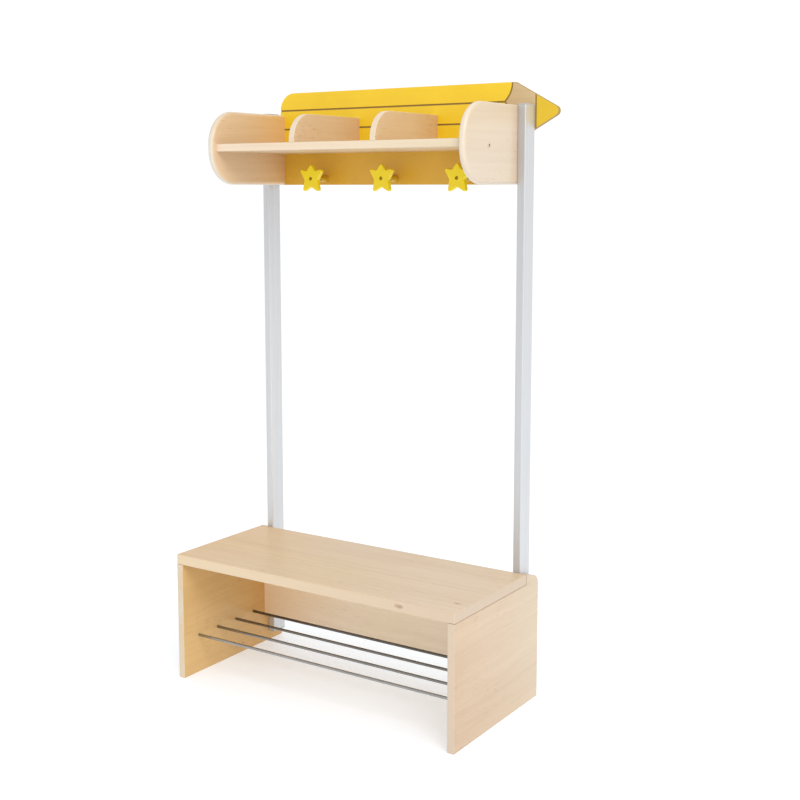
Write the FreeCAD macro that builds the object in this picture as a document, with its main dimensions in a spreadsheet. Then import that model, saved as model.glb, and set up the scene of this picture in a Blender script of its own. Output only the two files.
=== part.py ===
"""Child-size coat rack bench: a seat with a shoe rack, two posts and a shelf unit with hooks.

Every sketch is drawn in one frame, in millimetres: X to the right from the left side panel's outer face,
Y to the back from the bench's front edge, Z up from the floor. Each sub-part's placement then moves it so
that the origin lies on the floor, in the middle of the whole rack.
"""
import FreeCAD
import Part
import Sketcher
import os

DIMENSIONS = {
    # bench
    "bench_width": 790,
    "seat_depth": 323,
    "seat_height": 312,
    "seat_thickness": 25,
    "seat_round": 2.5,
    "side_thickness": 18,
    "shoulder_drop": 17.5,
    "shoulder_round": 25,
    "seat_gap": 0.5,
    "apron_height": 214.5,
    "apron_thickness": 15,
    "apron_gap": 0.5,
    "edge_round": 1.5,
    # shoe rack rods
    "rod_radius": 3.5,
    "rod_height": 95.5,
    "rod_front_inset": 54,
    "rod_rear_gap": 45.5,
    "rod_hole_depth": 10,
    # posts
    "post_width": 20,
    "post_depth": 45,
    "post_wall": 2,
    "post_round": 2.5,
    "post_gap": 2,
    "post_bottom": 25,
    "cap_height": 3,
    "cap_round": 1.5,
    "plug_skirt": 15,
    # top unit
    "rack_height": 1436.5,
    "end_thickness": 18,
    "end_height": 176,
    "end_depth": 276,
    "end_corner": 80,
    "rim_round": 8,
    "shelf_thickness": 18,
    "shelf_depth": 262,
    "shelf_rise": 78.5,
    "divider_thickness": 15,
    "divider_height": 66,
    "divider_corner": 62,
    # yellow boards
    "board_thickness": 12,
    "board_gap": 0.5,
    "hook_board_lap": 13,
    "pencil_inset": 5,
    "tip_overhang": 58,
    "pencil_height": 134,
    "pencil_facet": 47,
    "pencil_end_round": 43,
    "paint_setback": 116,
    "scallop_depth": 20,
    "middle_scallop_depth": 12,
    "cone_length": 110,
    "lead_length": 56,
    "tip_round": 11.5,
    "groove_width": 4,
    "groove_depth": 2.5,
    # hooks
    "hook_spacing": 210,
    "hook_rise": 15,
    "star_top": 36,
    "star_neck_reach": 13,
    "star_neck_rise": 19,
    "star_arm_reach": 36,
    "star_arm_rise": 24,
    "star_hip_reach": 20,
    "star_hip_drop": 3,
    "star_leg_reach": 25,
    "star_leg_drop": 34,
    "star_fork_drop": 20,
    "star_thickness": 12,
    "star_tip_round": 4,
    "star_notch_round": 6,
    "star_rim_round": 2,
    "peg_length": 51,
    "peg_base_radius": 9,
    "peg_waist_radius": 7,
    "peg_flange_radius": 18,
    "peg_flange_thickness": 7,
    "peg_base_thickness": 4,
    # fasteners
    "fit_gap": 0.1,
    "dowel_radius": 4,
    "dowel_half": 15,
    "dowel_board_depth": 11,
    "dowel_end_gap": 0.5,
    "seat_dowel_inset": 50,
    "apron_dowel_inset": 45,
    "shelf_dowel_inset": 36,
    "divider_dowel_inset": 60,
    "bolt_radius": 3,
    "bolt_head_radius": 5.5,
    "bolt_head_height": 4,
    "bolt_low": 95,
    "bolt_pitch": 130,
    "insert_radius": 4.5,
    "insert_length": 14,
    "screw_radius": 2,
    "screw_head_radius": 4,
    "screw_head_height": 3,
    "screw_length": 38,
    "screw_inset": 22,
    "shelf_screw_radius": 2.5,
    "shelf_screw_head_radius": 4.5,
    "shelf_screw_head_height": 3,
    "shelf_screw_length": 50,
    "shelf_screw_setback": 88,
    "shelf_screw_drop": 4,
    "cover_cap_radius": 6,
    "cover_cap_height": 1.2,
    "star_screw_head_radius": 4.5,
    "star_screw_sink": 2,
    "star_screw_bite": 14,
}

# Named places, as expressions on the sheet.
W = "dims.bench_width"
MIDDLE = f"({W} / 2)"
LEFT_INNER = "dims.side_thickness"
RIGHT_INNER = f"({W} - dims.side_thickness)"
LEFT_END = f"({LEFT_INNER} + dims.post_width)"
RIGHT_END = f"({RIGHT_INNER} - dims.post_width)"
SHELF_LEFT = f"({LEFT_END} + dims.end_thickness)"
SHELF_RIGHT = f"({RIGHT_END} - dims.end_thickness)"
SHELF_LENGTH = f"({SHELF_RIGHT} - {SHELF_LEFT})"

POST_FRONT = "(dims.seat_depth + dims.post_gap)"
BOARD_FRONT = f"({POST_FRONT} + dims.post_depth)"
BACK = f"({BOARD_FRONT} + dims.board_thickness)"
EAR_FRONT = "(dims.seat_depth + dims.seat_gap)"
APRON_FRONT = f"({POST_FRONT} - dims.apron_gap - dims.apron_thickness)"
END_FRONT = f"({BOARD_FRONT} - dims.end_depth)"
SHELF_FRONT = f"({BOARD_FRONT} - dims.shelf_depth)"
STAR_BACK = f"({BOARD_FRONT} - dims.peg_length)"
STAR_FRONT = f"({STAR_BACK} - dims.star_thickness)"

SEAT_UNDER = "(dims.seat_height - dims.seat_thickness)"
APRON_BOTTOM = f"({SEAT_UNDER} - dims.apron_height)"
UNIT_BOTTOM = "(dims.rack_height - dims.pencil_height - dims.shelf_thickness - dims.shelf_rise)"
UNIT_TOP = f"({UNIT_BOTTOM} + dims.end_height)"
SHELF_UNDER = f"({UNIT_BOTTOM} + dims.shelf_rise)"
SHELF_TOP = f"({SHELF_UNDER} + dims.shelf_thickness)"
SHELF_MIDDLE = f"({SHELF_UNDER} + dims.shelf_thickness / 2)"
PENCIL_LEFT = f"({LEFT_END} + dims.pencil_inset)"
PENCIL_TIP = f"({RIGHT_INNER} + dims.tip_overhang)"
PENCIL_AXIS = f"({SHELF_TOP} + dims.pencil_height / 2)"
PENCIL_TOP = f"({SHELF_TOP} + dims.pencil_height)"
HOOK_HEIGHT = f"({UNIT_BOTTOM} + dims.hook_rise)"

# The sketch plane square to each axis, and whether its normal points along that axis.
PLANES = {"X": ("YZ_Plane", True), "Y": ("XZ_Plane", False), "Z": ("XY_Plane", True)}
TOUCH = 1e-4
HALF_GROOVE = "dims.groove_width / 2"

doc = FreeCAD.newDocument("coat_rack_bench")
sheet = doc.addObject("Spreadsheet::Sheet", "dims")
for row, (name, size) in enumerate(DIMENSIONS.items(), 1):
    sheet.set(f"A{row}", name)
    sheet.set(f"B{row}", str(size))
    sheet.setAlias(f"B{row}", name)
doc.recompute()

parts = []


def value(expression):
    """The number that an expression gives with the sheet's sizes."""
    return float(sheet.evalExpression(expression))


def new_part(label):
    """Empty body whose placement puts the rack's frame on the floor, under the middle of the rack."""
    body = doc.addObject("PartDesign::Body", label)
    body.Label = label
    body.AllowCompound = True
    body.setExpression("Placement.Base.x", f"-max({W}; {PENCIL_TIP}) / 2")
    body.setExpression("Placement.Base.y", f"-{BACK} / 2")
    parts.append(body)
    return body


def new_sketch(body, axis, start):
    """Empty sketch square to an axis, at the given place along it."""
    role, forward = PLANES[axis]
    plane = next(feature for feature in body.Origin.OriginFeatures if feature.Role == role)
    sketch = body.newObject("Sketcher::SketchObject", "outline")
    sketch.AttachmentSupport = [(plane, "")]
    sketch.MapMode = "FlatFace"
    sketch.setExpression("AttachmentOffset.Base.z", start if forward else f"-({start})")
    return sketch


def pin(sketch, geometry, point, across, up):
    """Hold a point of a sketch at two expressions, measured from the sketch's origin."""
    for axis, kind, place in ((-2, "DistanceX", across), (-1, "DistanceY", up)):
        if place == "0":
            sketch.addConstraint(Sketcher.Constraint("PointOnObject", geometry, point, axis))
        else:
            index = sketch.addConstraint(Sketcher.Constraint(kind, -1, 1, geometry, point, value(place)))
            sketch.setExpression(f"Constraints[{index}]", place)


def set_radius(sketch, geometry, radius):
    index = sketch.addConstraint(Sketcher.Constraint("Radius", geometry, value(radius)))
    sketch.setExpression(f"Constraints[{index}]", radius)


def point_at(across, up):
    return FreeCAD.Vector(value(across), value(up), 0)


def polygon(*corners):
    """Closed outline of straight lines through corners, each a pair of expressions."""
    def draw(sketch):
        first = sketch.GeometryCount
        points = [point_at(*corner) for corner in corners]
        for start, end in zip(points, points[1:] + points[:1]):
            sketch.addGeometry(Part.LineSegment(start, end), False)
        for number, corner in enumerate(corners):
            following = first + (number + 1) % len(corners)
            sketch.addConstraint(Sketcher.Constraint("Coincident", first + number, 2, following, 1))
            pin(sketch, first + number, 1, *corner)
    return draw


def rectangle(left, low, right, high):
    return polygon((left, low), (right, low), (right, high), (left, high))


def circles(centres, radius):
    """One circle of the same radius at each centre."""
    def draw(sketch):
        for centre in centres:
            circle = Part.Circle(point_at(*centre), FreeCAD.Vector(0, 0, 1), value(radius))
            geometry = sketch.addGeometry(circle, False)
            pin(sketch, geometry, 3, *centre)
            set_radius(sketch, geometry, radius)
    return draw


def add(body, axis, start, length, *outlines):
    """Extrude outlines along an axis, from start."""
    sketch = new_sketch(body, axis, start)
    for draw in outlines:
        draw(sketch)
    pad = body.newObject("PartDesign::Pad", "pad")
    pad.Profile = sketch
    pad.setExpression("Length", length)
    pad.Reversed = not PLANES[axis][1]
    doc.recompute()
    return pad


def cut(body, axis, start, length, *outlines):
    """Cut outlines out along an axis, from start, and see that material went."""
    before = body.Tip.Shape.Volume
    sketch = new_sketch(body, axis, start)
    for draw in outlines:
        draw(sketch)
    pocket = body.newObject("PartDesign::Pocket", "pocket")
    pocket.Profile = sketch
    pocket.setExpression("Length", length)
    pocket.Reversed = PLANES[axis][1]
    doc.recompute()
    if pocket.Shape.Volume > before - TOUCH:
        raise RuntimeError(f"a pocket of {body.Label} cuts nothing")
    return pocket


def round_edges(body, radius, chosen):
    """Fillet the edges of the body's tip that a test on an edge's box picks."""
    base = body.Tip
    names = [f"Edge{number}" for number, edge in enumerate(base.Shape.Edges, 1) if chosen(edge.BoundBox)]
    fillet = body.newObject("PartDesign::Fillet", "round")
    fillet.Base = (base, names)
    fillet.setExpression("Radius", radius)
    doc.recompute()
    return fillet


def same(a, expression):
    return abs(a - value(expression)) < TOUCH


def along_x(box):
    return box.XLength > TOUCH and box.YLength < TOUCH and box.ZLength < TOUCH


def along_y(box):
    return box.YLength > TOUCH and box.XLength < TOUCH and box.ZLength < TOUCH


def along_z(box):
    return box.ZLength > TOUCH and box.XLength < TOUCH and box.YLength < TOUCH


def on_x(box, place):
    return same(box.XMin, place) and same(box.XMax, place)


def on_y(box, place):
    return same(box.YMin, place) and same(box.YMax, place)


def on_z(box, place):
    return same(box.ZMin, place) and same(box.ZMax, place)


# Places of the fasteners, shared by the pins and by their holes.
ROD_PITCH = f"(({APRON_FRONT} - dims.rod_rear_gap - dims.rod_front_inset) / 3)"
RODS = [(f"(dims.rod_front_inset + {number} * {ROD_PITCH})", "dims.rod_height") for number in range(4)]
SIDES_X = {"left": "dims.side_thickness / 2", "right": f"({W} - dims.side_thickness / 2)"}
SEAT_DOWELS_Y = ["dims.seat_dowel_inset", "dims.seat_depth / 2", "(dims.seat_depth - dims.seat_dowel_inset)"]
APRON_MIDDLE = f"({APRON_FRONT} + dims.apron_thickness / 2)"
APRON_DOWELS = [(APRON_MIDDLE, f"({APRON_BOTTOM} + dims.apron_dowel_inset)"),
                (APRON_MIDDLE, f"({SEAT_UNDER} - dims.apron_dowel_inset)")]
POST_MIDDLE = f"({POST_FRONT} + dims.post_depth / 2)"
POST_BOLTS = [(POST_MIDDLE, "dims.bolt_low"), (POST_MIDDLE, "(dims.bolt_low + dims.bolt_pitch)")]
SHELF_DOWELS = [(f"({SHELF_FRONT} + dims.shelf_dowel_inset)", SHELF_MIDDLE),
                (f"({BOARD_FRONT} - dims.shelf_dowel_inset)", SHELF_MIDDLE)]
SHELF_SCREW = [(f"({SHELF_FRONT} + dims.shelf_screw_setback)",
                f"({SHELF_MIDDLE} - dims.shelf_screw_drop)")]
DIVIDERS_X = {"left": f"({SHELF_LEFT} + {SHELF_LENGTH} / 3)",
              "right": f"({SHELF_RIGHT} - {SHELF_LENGTH} / 3)"}
DIVIDER_DOWELS_Y = [f"({SHELF_FRONT} + dims.divider_dowel_inset)",
                    f"({BOARD_FRONT} - dims.divider_dowel_inset)"]
HOOKS = {"left": f"({MIDDLE} - dims.hook_spacing)",
         "middle": MIDDLE,
         "right": f"({MIDDLE} + dims.hook_spacing)"}
DOWEL_HOLE = "(dims.dowel_radius + dims.fit_gap)"
SCREW_HOLE = "(dims.screw_radius + dims.fit_gap)"
SCREW_REACH = "(dims.screw_length - dims.board_thickness + dims.dowel_end_gap)"
SHELF_SCREW_HOLE = "(dims.shelf_screw_radius + dims.fit_gap)"
END_MIDDLES = [f"({LEFT_END} + dims.end_thickness / 2)", f"({RIGHT_END} - dims.end_thickness / 2)"]
LAP_MIDDLES = [f"({LEFT_END} - dims.hook_board_lap / 2)", f"({RIGHT_END} + dims.hook_board_lap / 2)"]
HOOK_BOARD_TOP = f"({SHELF_TOP} - dims.board_gap)"
RAIL_HEIGHTS = [f"({UNIT_BOTTOM} + dims.screw_inset)", f"({HOOK_BOARD_TOP} - dims.screw_inset)"]
PENCIL_LOW = f"({SHELF_TOP} + dims.screw_inset)"
PENCIL_HIGH = f"({UNIT_TOP} - dims.screw_inset)"
RAIL_TO_POSTS = [(x, z) for x in LAP_MIDDLES for z in RAIL_HEIGHTS]
RAIL_TO_ENDS = [(x, z) for x in END_MIDDLES for z in RAIL_HEIGHTS]
HOOK_CENTRES = {side: (x, HOOK_HEIGHT) for side, x in HOOKS.items()}
RAIL_TO_PEGS = list(HOOK_CENTRES.values())
PENCIL_TO_ENDS = [(x, z) for x in END_MIDDLES for z in (PENCIL_LOW, PENCIL_HIGH)]
PENCIL_TO_DIVIDERS = [(x, PENCIL_LOW) for x in DIVIDERS_X.values()]
PENCIL_TO_POST = [(LAP_MIDDLES[1], z) for z in (PENCIL_LOW, PENCIL_HIGH)]


def dowel_hole(body, axis, start, length, centres):
    return cut(body, axis, start, length, circles(centres, DOWEL_HOLE))


BLIND_HALF = "(dims.dowel_half + dims.dowel_end_gap)"
BLIND_BOARD = "(dims.dowel_board_depth + dims.dowel_end_gap)"
BLIND_END = "(2 * dims.dowel_half - dims.dowel_board_depth + dims.dowel_end_gap)"


def make_seat():
    """Seat board on top of the side panels, eased all round."""
    seat = new_part("seat_board")
    add(seat, "Z", SEAT_UNDER, "dims.seat_thickness", rectangle("0", "0", W, "dims.seat_depth"))
    round_edges(seat, "dims.seat_round", lambda box: True)
    centres = [(x, y) for x in SIDES_X.values() for y in SEAT_DOWELS_Y]
    dowel_hole(seat, "Z", SEAT_UNDER, BLIND_HALF, centres)


def make_side(side):
    """Side panel: a step under the seat, and behind it a shoulder that slopes down to the back."""
    panel = new_part(f"bench_side_{side}")
    outer = "0" if side == "left" else RIGHT_INNER
    far = LEFT_INNER if side == "left" else W
    shoulder_low = "(dims.seat_height - dims.shoulder_drop)"
    add(panel, "X", outer, "dims.side_thickness", polygon(
        ("0", "0"), (BACK, "0"), (BACK, shoulder_low), (EAR_FRONT, "dims.seat_height"),
        (EAR_FRONT, SEAT_UNDER), ("0", SEAT_UNDER)))
    round_edges(panel, "dims.shoulder_round",
                lambda box: along_x(box) and on_y(box, BACK) and on_z(box, shoulder_low))
    round_edges(panel, "dims.edge_round",
                lambda box: not along_x(box) and not on_z(box, SEAT_UNDER) and not on_y(box, EAR_FRONT))
    dowel_hole(panel, "Z", f"({SEAT_UNDER} - {BLIND_HALF})", BLIND_HALF,
               [(SIDES_X[side], y) for y in SEAT_DOWELS_Y])
    holes = ((APRON_DOWELS, DOWEL_HOLE, BLIND_BOARD),
             (RODS, "(dims.rod_radius + dims.fit_gap)", "dims.rod_hole_depth"),
             (POST_BOLTS, "(dims.insert_radius + dims.fit_gap)", "dims.insert_length"))
    for centres, radius, depth in holes:
        start = f"({far} - {depth})" if side == "left" else RIGHT_INNER
        cut(panel, "X", start, depth, circles(centres, radius))


def make_apron():
    """Rear rail that hangs under the seat between the side panels."""
    apron = new_part("bench_apron")
    add(apron, "X", LEFT_INNER, f"({RIGHT_INNER} - {LEFT_INNER})",
        rectangle(APRON_FRONT, APRON_BOTTOM, f"({APRON_FRONT} + dims.apron_thickness)", SEAT_UNDER))
    round_edges(apron, "dims.edge_round", lambda box: along_x(box) and on_z(box, APRON_BOTTOM))
    for start in (LEFT_INNER, f"({RIGHT_INNER} - {BLIND_END})"):
        dowel_hole(apron, "X", start, BLIND_END, APRON_DOWELS)


def make_rods():
    """Four round rods of the shoe rack, let into blind holes in the side panels."""
    reach = "(dims.rod_hole_depth - dims.dowel_end_gap)"
    for number, centre in enumerate(RODS, 1):
        rod = new_part(f"shoe_rod_{number}")
        add(rod, "X", f"({LEFT_INNER} - {reach})", f"({RIGHT_INNER} - {LEFT_INNER} + 2 * {reach})",
            circles([centre], "dims.rod_radius"))


def make_post(side):
    """Hollow extruded post with its top cap and bottom plug."""
    post_low = "(dims.post_bottom + dims.cap_height)"
    left = LEFT_INNER if side == "left" else RIGHT_END
    right = f"({left} + dims.post_width)"
    wall = "dims.post_wall"

    def inside(inset):
        return rectangle(f"({left} + {inset})", f"({POST_FRONT} + {inset})",
                         f"({right} - {inset})", f"({BOARD_FRONT} - {inset})")

    post = new_part(f"post_{side}")
    add(post, "Z", post_low, f"({UNIT_TOP} - {post_low})",
        rectangle(left, POST_FRONT, right, BOARD_FRONT), inside(wall))
    round_edges(post, "dims.post_round", lambda box: along_z(box) and (on_x(box, left) or on_x(box, right)))
    cut(post, "X", left, "dims.post_width", circles(POST_BOLTS, "(dims.bolt_radius + dims.fit_gap)"))
    lap = LAP_MIDDLES[0] if side == "left" else LAP_MIDDLES[1]
    screws = [centre for centre in RAIL_TO_POSTS + PENCIL_TO_POST if centre[0] == lap]
    cut(post, "Y", f"({BOARD_FRONT} - {wall})", wall, circles(screws, SCREW_HOLE))

    for label, plate_low, skirt_low, rim in (("post_cap", UNIT_TOP, f"({UNIT_TOP} - dims.plug_skirt)",
                                              f"({UNIT_TOP} + dims.cap_height)"),
                                             ("post_plug", "dims.post_bottom", post_low, "dims.post_bottom")):
        lid = new_part(f"{label}_{side}")
        add(lid, "Z", plate_low, "dims.cap_height", rectangle(left, POST_FRONT, right, BOARD_FRONT))
        round_edges(lid, "dims.post_round", along_z)
        round_edges(lid, "dims.cap_round", lambda box, rim=rim: on_z(box, rim))
        add(lid, "Z", skirt_low, "dims.plug_skirt", inside(f"({wall} + dims.fit_gap)"))


def make_end_panel(side):
    """D-shaped end of the top unit, with large front corners and a rim rounded on both faces."""
    panel = new_part(f"end_panel_{side}")
    left = LEFT_END if side == "left" else SHELF_RIGHT
    outer = LEFT_END if side == "left" else RIGHT_END
    inner = SHELF_LEFT if side == "left" else SHELF_RIGHT
    add(panel, "X", left, "dims.end_thickness",
        rectangle(END_FRONT, UNIT_BOTTOM, BOARD_FRONT, UNIT_TOP))
    round_edges(panel, "min(dims.end_corner; dims.end_height / 2 - dims.edge_round)",
                lambda box: along_x(box) and on_y(box, END_FRONT))
    for face in (outer, inner):
        round_edges(panel, "min(dims.rim_round; (dims.end_thickness - dims.edge_round) / 2)",
                    lambda box: on_x(box, face) and not on_y(box, BOARD_FRONT))
    start = f"({inner} - {BLIND_BOARD})" if side == "left" else inner
    dowel_hole(panel, "X", start, BLIND_BOARD, SHELF_DOWELS)
    cut(panel, "X", left, "dims.end_thickness", circles(SHELF_SCREW, SHELF_SCREW_HOLE))
    head = "(dims.shelf_screw_head_height + dims.fit_gap)"
    cut(panel, "X", outer if side == "left" else f"({outer} - {head})", head,
        circles(SHELF_SCREW, "(dims.shelf_screw_head_radius + dims.fit_gap)"))
    middle = END_MIDDLES[0] if side == "left" else END_MIDDLES[1]
    screws = [centre for centre in RAIL_TO_ENDS + PENCIL_TO_ENDS if centre[0] == middle]
    cut(panel, "Y", f"({BOARD_FRONT} - {SCREW_REACH})", SCREW_REACH, circles(screws, SCREW_HOLE))


def make_shelf():
    """Shelf between the end panels."""
    shelf = new_part("shelf")
    add(shelf, "X", SHELF_LEFT, SHELF_LENGTH, rectangle(SHELF_FRONT, SHELF_UNDER, BOARD_FRONT, SHELF_TOP))
    round_edges(shelf, "dims.edge_round", lambda box: along_x(box) and on_y(box, SHELF_FRONT))
    for start in (SHELF_LEFT, f"({SHELF_RIGHT} - {BLIND_END})"):
        dowel_hole(shelf, "X", start, BLIND_END, SHELF_DOWELS)
    bite = "(dims.shelf_screw_length - dims.end_thickness + dims.dowel_end_gap)"
    for start in (SHELF_LEFT, f"({SHELF_RIGHT} - {bite})"):
        cut(shelf, "X", start, bite, circles(SHELF_SCREW, SHELF_SCREW_HOLE))
    centres = [(x, y) for x in DIVIDERS_X.values() for y in DIVIDER_DOWELS_Y]
    dowel_hole(shelf, "Z", f"({SHELF_TOP} - {BLIND_BOARD})", BLIND_BOARD, centres)


def make_divider(side):
    """Upright divider on the shelf with a large rounded front corner."""
    divider = new_part(f"divider_{side}")
    middle = DIVIDERS_X[side]
    left = f"({middle} - dims.divider_thickness / 2)"
    top = f"({SHELF_TOP} + dims.divider_height)"
    add(divider, "X", left, "dims.divider_thickness", rectangle(SHELF_FRONT, SHELF_TOP, BOARD_FRONT, top))
    round_edges(divider, "min(dims.divider_corner; dims.divider_height - dims.edge_round)",
                lambda box: along_x(box) and on_y(box, SHELF_FRONT) and on_z(box, top))
    round_edges(divider, "dims.edge_round", lambda box: not along_x(box) and not on_z(box, SHELF_TOP)
                and not on_y(box, BOARD_FRONT))
    dowel_hole(divider, "Z", SHELF_TOP, BLIND_END, [(middle, y) for y in DIVIDER_DOWELS_Y])
    cut(divider, "Y", f"({BOARD_FRONT} - {SCREW_REACH})", SCREW_REACH,
        circles([(middle, PENCIL_LOW)], SCREW_HOLE))


def screw_seats(board, centres):
    """Through holes for screws from behind, each with a sunk seat for the head."""
    head = "(dims.screw_head_height + dims.fit_gap)"
    cut(board, "Y", BOARD_FRONT, "dims.board_thickness", circles(centres, SCREW_HOLE))
    cut(board, "Y", f"({BACK} - {head})", head, circles(centres, "(dims.screw_head_radius + dims.fit_gap)"))


def make_hook_board():
    """Plain board below the pencil, lapped over the backs of both posts."""
    board = new_part("hook_board")
    left = f"({LEFT_END} - dims.hook_board_lap)"
    right = f"({RIGHT_END} + dims.hook_board_lap)"
    add(board, "Y", BOARD_FRONT, "dims.board_thickness",
        rectangle(left, UNIT_BOTTOM, right, HOOK_BOARD_TOP))
    round_edges(board, "dims.edge_round", lambda box: on_z(box, UNIT_BOTTOM) and along_x(box))
    screw_seats(board, RAIL_TO_POSTS + RAIL_TO_ENDS + RAIL_TO_PEGS)


def pencil_outline(sketch):
    """Flat butt end, straight body, and a cone that runs into a round tip."""
    shoulder = f"({PENCIL_TIP} - dims.cone_length)"
    corners = [(shoulder, PENCIL_TOP), (PENCIL_LEFT, PENCIL_TOP),
               (PENCIL_LEFT, SHELF_TOP), (shoulder, SHELF_TOP)]
    points = [point_at(*corner) for corner in corners]
    centre = (f"({PENCIL_TIP} - dims.tip_round)", PENCIL_AXIS)
    middle = point_at(*centre)
    rise = FreeCAD.Vector(0, value("dims.tip_round"), 0)
    low, high = middle - rise, middle + rise
    for start, end in zip(points + [low], points[1:] + [low]):
        if start != end:
            sketch.addGeometry(Part.LineSegment(start, end), False)
    sketch.addGeometry(Part.Arc(low, middle + FreeCAD.Vector(value("dims.tip_round"), 0, 0), high), False)
    sketch.addGeometry(Part.LineSegment(high, points[0]), False)
    arc, closing = 4, 5
    for line in range(3):
        sketch.addConstraint(Sketcher.Constraint("Coincident", line, 2, line + 1, 1))
    sketch.addConstraint(Sketcher.Constraint("Coincident", closing, 2, 0, 1))
    for line, corner in enumerate(corners):
        pin(sketch, line, 1, *corner)
    pin(sketch, arc, 3, *centre)
    set_radius(sketch, arc, "dims.tip_round")
    sketch.addConstraint(Sketcher.Constraint("Tangent", 3, 2, arc, 1))
    sketch.addConstraint(Sketcher.Constraint("Tangent", arc, 2, closing, 1))


def arc_radius(half_chord, rise):
    return f"(({half_chord}^2 + {rise}^2) / (2 * {rise}))"


def arc_slot(centre, radius, low, high):
    """Slot of the groove's width along an arc that bulges to the right, between two heights."""
    def draw(sketch):
        middle = point_at(*centre)
        ends = []
        for shift in ("-", "+"):
            size = f"({radius} {shift} {HALF_GROOVE})"
            radius_now = value(size)
            points = []
            for height in (low, high):
                reach = (radius_now ** 2 - (value(height) - middle.y) ** 2) ** 0.5
                points.append(FreeCAD.Vector(middle.x + reach, value(height), 0))
            half_way = FreeCAD.Vector(middle.x, (points[0].y + points[1].y) / 2, 0)
            half_way.x += (radius_now ** 2 - (half_way.y - middle.y) ** 2) ** 0.5
            geometry = sketch.addGeometry(Part.Arc(points[0], half_way, points[1]), False)
            pin(sketch, geometry, 3, *centre)
            set_radius(sketch, geometry, size)
            ends.append((geometry, points))
        (inner, inner_points), (outer, outer_points) = ends
        for point, height in ((0, low), (1, high)):
            line = sketch.addGeometry(Part.LineSegment(inner_points[point], outer_points[point]), False)
            sketch.addConstraint(Sketcher.Constraint("Coincident", line, 1, inner, point + 1))
            sketch.addConstraint(Sketcher.Constraint("Coincident", line, 2, outer, point + 1))
            sketch.addConstraint(Sketcher.Constraint("Horizontal", line))
            index = sketch.addConstraint(Sketcher.Constraint("DistanceY", -1, 1, line, 1, value(height)))
            sketch.setExpression(f"Constraints[{index}]", height)
    return draw


def make_pencil_board():
    """Board cut as a pencil, with routed lines along its facets, at the paint and before the lead."""
    board = new_part("pencil_board")
    sketch = new_sketch(board, "Y", BOARD_FRONT)
    pencil_outline(sketch)
    pad = board.newObject("PartDesign::Pad", "pad")
    pad.Profile = sketch
    pad.setExpression("Length", "dims.board_thickness")
    pad.Reversed = True
    doc.recompute()
    round_edges(board, "min(dims.pencil_end_round; dims.pencil_height / 2 - dims.edge_round)",
                lambda box: along_y(box) and on_x(box, PENCIL_LEFT))

    facet_low = f"({PENCIL_AXIS} - dims.pencil_facet / 2)"
    facet_high = f"({PENCIL_AXIS} + dims.pencil_facet / 2)"
    cusp = f"({PENCIL_TIP} - dims.paint_setback - dims.scallop_depth)"
    lines = [rectangle(PENCIL_LEFT, f"({level} - {HALF_GROOVE})", cusp, f"({level} + {HALF_GROOVE})")
             for level in (facet_low, facet_high)]
    cut(board, "Y", BOARD_FRONT, "dims.groove_depth", *lines)

    middle_radius = arc_radius("(dims.pencil_facet / 2)", "dims.middle_scallop_depth")
    middle_centre = f"({cusp} + dims.middle_scallop_depth - {middle_radius})"
    outer_radius = arc_radius("((dims.pencil_height - dims.pencil_facet) / 2)", "dims.scallop_depth")
    outer_centre = f"({cusp} + dims.scallop_depth - {outer_radius})"
    scallops = ((middle_centre, PENCIL_AXIS, middle_radius, facet_low, facet_high),
                (outer_centre, PENCIL_TOP, outer_radius, facet_high, PENCIL_TOP),
                (outer_centre, SHELF_TOP, outer_radius, SHELF_TOP, facet_low))
    for across, up, radius, low, high in scallops:
        cut(board, "Y", BOARD_FRONT, "dims.groove_depth", arc_slot((across, up), radius, low, high))
    lead = f"({PENCIL_TIP} - dims.lead_length)"
    cut(board, "Y", BOARD_FRONT, "dims.groove_depth",
        rectangle(f"({lead} - {HALF_GROOVE})", SHELF_TOP, f"({lead} + {HALF_GROOVE})", PENCIL_TOP))
    screw_seats(board, PENCIL_TO_ENDS + PENCIL_TO_DIVIDERS + PENCIL_TO_POST)


def make_star(side):
    """Five-pointed hook plate with raised arms and rounded points, sunk for the screw in its middle."""
    star = new_part(f"star_hook_{side}")
    centre = HOOKS[side]

    def corner(sign, reach, rise):
        return f"({centre} {sign} dims.{reach})", f"({HOOK_HEIGHT} {rise})"

    top = (centre, f"({HOOK_HEIGHT} + dims.star_top)")
    fork = (centre, f"({HOOK_HEIGHT} - dims.star_fork_drop)")
    points = [top]
    notches = [fork]
    flanks = {}
    for sign in "-+":
        neck = corner(sign, "star_neck_reach", "+ dims.star_neck_rise")
        arm = corner(sign, "star_arm_reach", "+ dims.star_arm_rise")
        hip = corner(sign, "star_hip_reach", "- dims.star_hip_drop")
        leg = corner(sign, "star_leg_reach", "- dims.star_leg_drop")
        flanks[sign] = [neck, arm, hip, leg]
        points += [arm, leg]
        notches += [neck, hip]
    add(star, "Y", STAR_FRONT, "dims.star_thickness",
        polygon(top, *flanks["-"], fork, *reversed(flanks["+"])))
    for corners, rounding in ((points, "dims.star_tip_round"), (notches, "dims.star_notch_round")):
        round_edges(star, rounding, lambda box: along_y(box) and any(
            on_x(box, across) and on_z(box, up) for across, up in corners))
    round_edges(star, "dims.star_rim_round", lambda box: on_y(box, STAR_FRONT) or on_y(box, STAR_BACK))
    screw = [HOOK_CENTRES[side]]
    cut(star, "Y", STAR_FRONT, "dims.star_thickness", circles(screw, SCREW_HOLE))
    cut(star, "Y", STAR_FRONT, "(dims.screw_head_height + dims.star_screw_sink)",
        circles(screw, "(dims.star_screw_head_radius + dims.fit_gap)"))


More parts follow.
